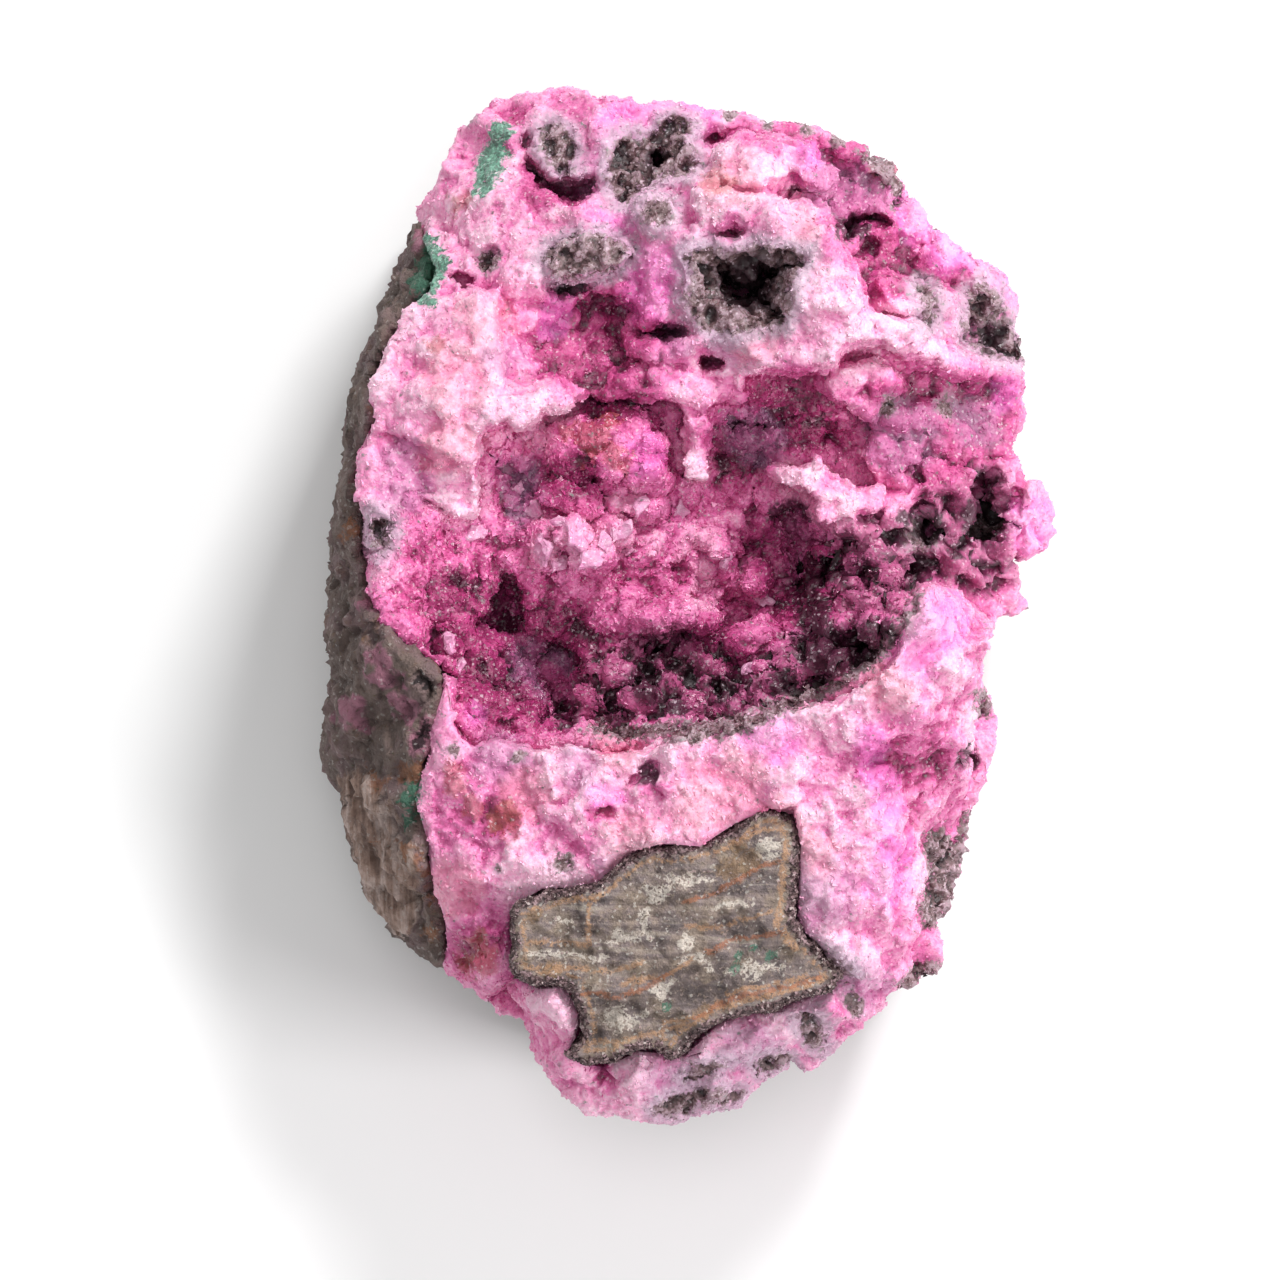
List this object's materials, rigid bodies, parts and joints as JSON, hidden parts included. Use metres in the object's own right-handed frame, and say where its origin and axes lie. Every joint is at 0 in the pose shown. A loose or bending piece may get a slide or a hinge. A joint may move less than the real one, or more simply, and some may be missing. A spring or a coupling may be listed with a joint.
{
  "type": "cobaltoan calcite specimen",
  "caption": "Natural mineral specimen lying on its back: massive pink calcite on grey host rock, with a druse-lined hollow and a banded rock fragment.",
  "frame": {"origin": "middle of the specimen's footprint, on the flat underside that it rests on", "axes": "+X to the specimen's right seen from its front, +Y to its upper end, +Z out of its front, away from the surface that it lies on"},
  "size_m": [0.0776, 0.11, 0.053],
  "materials": {
    "host_rock": "broken grey-brown host rock, matt",
    "massive_calcite": "sugary pink calcite, slightly translucent",
    "druse": "sparkling magenta crystal crust",
    "banded_rock": "grey-brown rock with tan and orange bands"
  },
  "bodies": {
    "root": {"host_rock": "host_rock", "massive_calcite": "massive_calcite", "hollow_druse": "druse", "banded_fragment": "banded_rock"}
  },
  "joints": []
}
